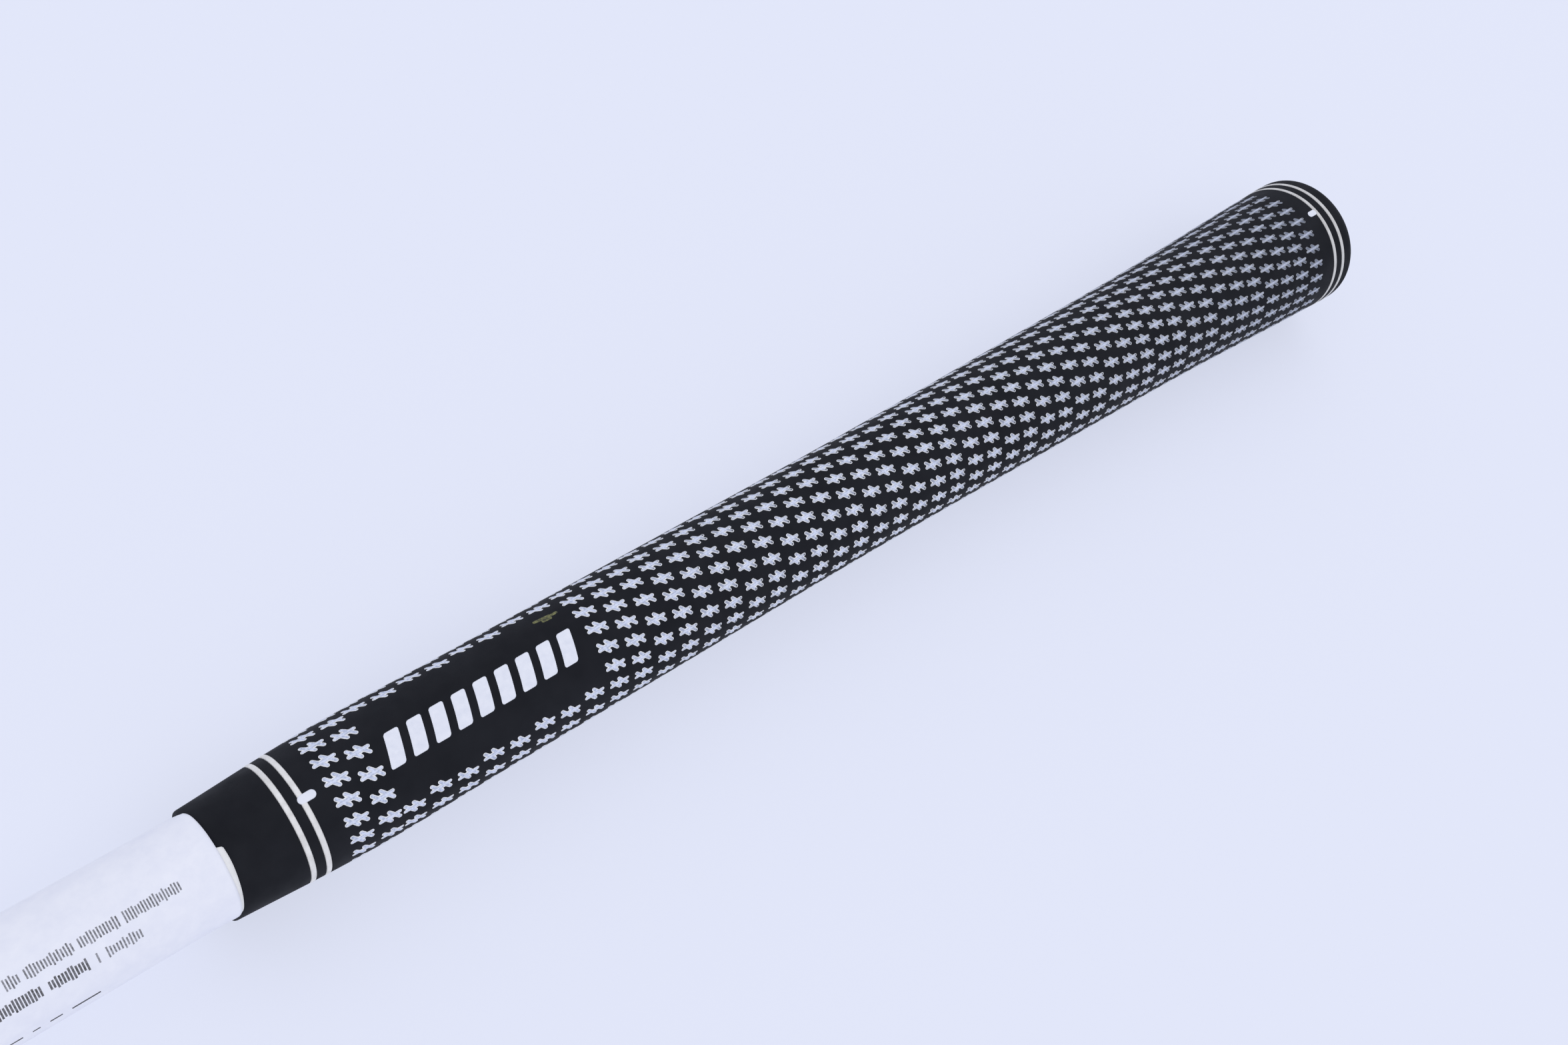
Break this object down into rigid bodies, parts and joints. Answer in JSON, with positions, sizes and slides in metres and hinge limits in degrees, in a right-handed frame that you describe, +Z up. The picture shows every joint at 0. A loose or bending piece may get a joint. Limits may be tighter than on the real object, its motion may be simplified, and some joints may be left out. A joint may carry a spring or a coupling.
{
  "type": "fairway wood",
  "caption": "Golf fairway wood with a hollow composite-crown head, adjustable hosel, tapered graphite shaft and patterned rubber grip.",
  "frame": {"origin": "middle of the club's box, on the floor that it lies on", "axes": "+X along the shaft from the head to the butt, +Z up with the toe uppermost, +Y towards the back of the head"},
  "size_m": [1.1286, 0.0838, 0.0897],
  "materials": {
    "grip_rubber": "matte",
    "cap_rubber": "matte",
    "tape": "matte",
    "graphite": "gloss",
    "label_paper": "satin",
    "ferrule_plastic": "gloss",
    "anodised_alloy": "satin",
    "screw_steel": "satin",
    "seal_rubber": "matte",
    "head_paint": "satin",
    "face_steel": "satin",
    "carbon_composite": "gloss",
    "weight_metal": "satin"
  },
  "bodies": {
    "head": {"head_body": "head_paint", "hosel": "head_paint", "face_plate": "face_steel", "crown_panel": "carbon_composite", "tungsten_bar": "weight_metal", "screw_washer": "screw_steel"},
    "shaft_assembly": {"shaft": "graphite", "grip_sleeve": "grip_rubber", "grip_end_cap": "cap_rubber", "grip_tape": "tape", "paper_label": "label_paper", "tip_weight_pin": "screw_steel", "ferrule": "ferrule_plastic", "adapter_sleeve": "anodised_alloy"},
    "upper_cog": {"upper_cog": "anodised_alloy"},
    "lower_cog": {"lower_cog": "anodised_alloy"},
    "hosel_screw": {"hosel_screw": "screw_steel", "screw_retainer": "seal_rubber"},
    "front_weight": {"front_weight": "weight_metal"},
    "front_weight_screw": {"front_weight_screw": "screw_steel"},
    "rear_weight": {"rear_weight": "weight_metal"},
    "rear_weight_screw": {"rear_weight_screw": "screw_steel"}
  },
  "joints": [
    {"name": "hosel_screw_turn", "type": "hinge", "parent": "head", "child": "hosel_screw", "pos_m": [-0.51908, -0.02253, 0.00984], "axis": [-1, 0, -0.0044], "range_deg": [0, 2880]},
    {"name": "shaft_release", "type": "slide", "parent": "head", "child": "shaft_assembly", "axis": [1, 0, 0.0044], "range_m": [0, 0.0064]},
    {"name": "upper_cog_turn", "type": "hinge", "parent": "shaft_assembly", "child": "upper_cog", "pos_m": [-0.46778, -0.02253, 0.01006], "axis": [1, 0, 0.0044], "continuous": true},
    {"name": "lower_cog_turn", "type": "hinge", "parent": "shaft_assembly", "child": "lower_cog", "pos_m": [-0.46778, -0.02253, 0.01006], "axis": [1, 0, 0.0044], "continuous": true},
    {"name": "front_weight_lift", "type": "slide", "parent": "head", "child": "front_weight", "axis": [-0.8363, 0.024, -0.5478], "range_m": [0, 0.0049]},
    {"name": "front_screw_turn", "type": "hinge", "parent": "front_weight", "child": "front_weight_screw", "pos_m": [-0.54617, -0.0208, 0.03851], "axis": [-0.8363, 0.024, -0.5478], "range_deg": [0, 2520]},
    {"name": "rear_weight_lift", "type": "slide", "parent": "head", "child": "rear_weight", "axis": [-0.7998, 0.3151, -0.5109], "range_m": [0, 0.0049]},
    {"name": "rear_screw_turn", "type": "hinge", "parent": "rear_weight", "child": "rear_weight_screw", "pos_m": [-0.54232, 0.03015, 0.04089], "axis": [-0.7998, 0.3151, -0.5109], "range_deg": [0, 2520]}
  ],
  "couplings": [
    {"joint": "hosel_screw_turn", "follows": "shaft_release", "rad_per_m": 7854},
    {"joint": "front_screw_turn", "follows": "front_weight_lift", "rad_per_m": 8976},
    {"joint": "rear_screw_turn", "follows": "rear_weight_lift", "rad_per_m": 8976}
  ]
}
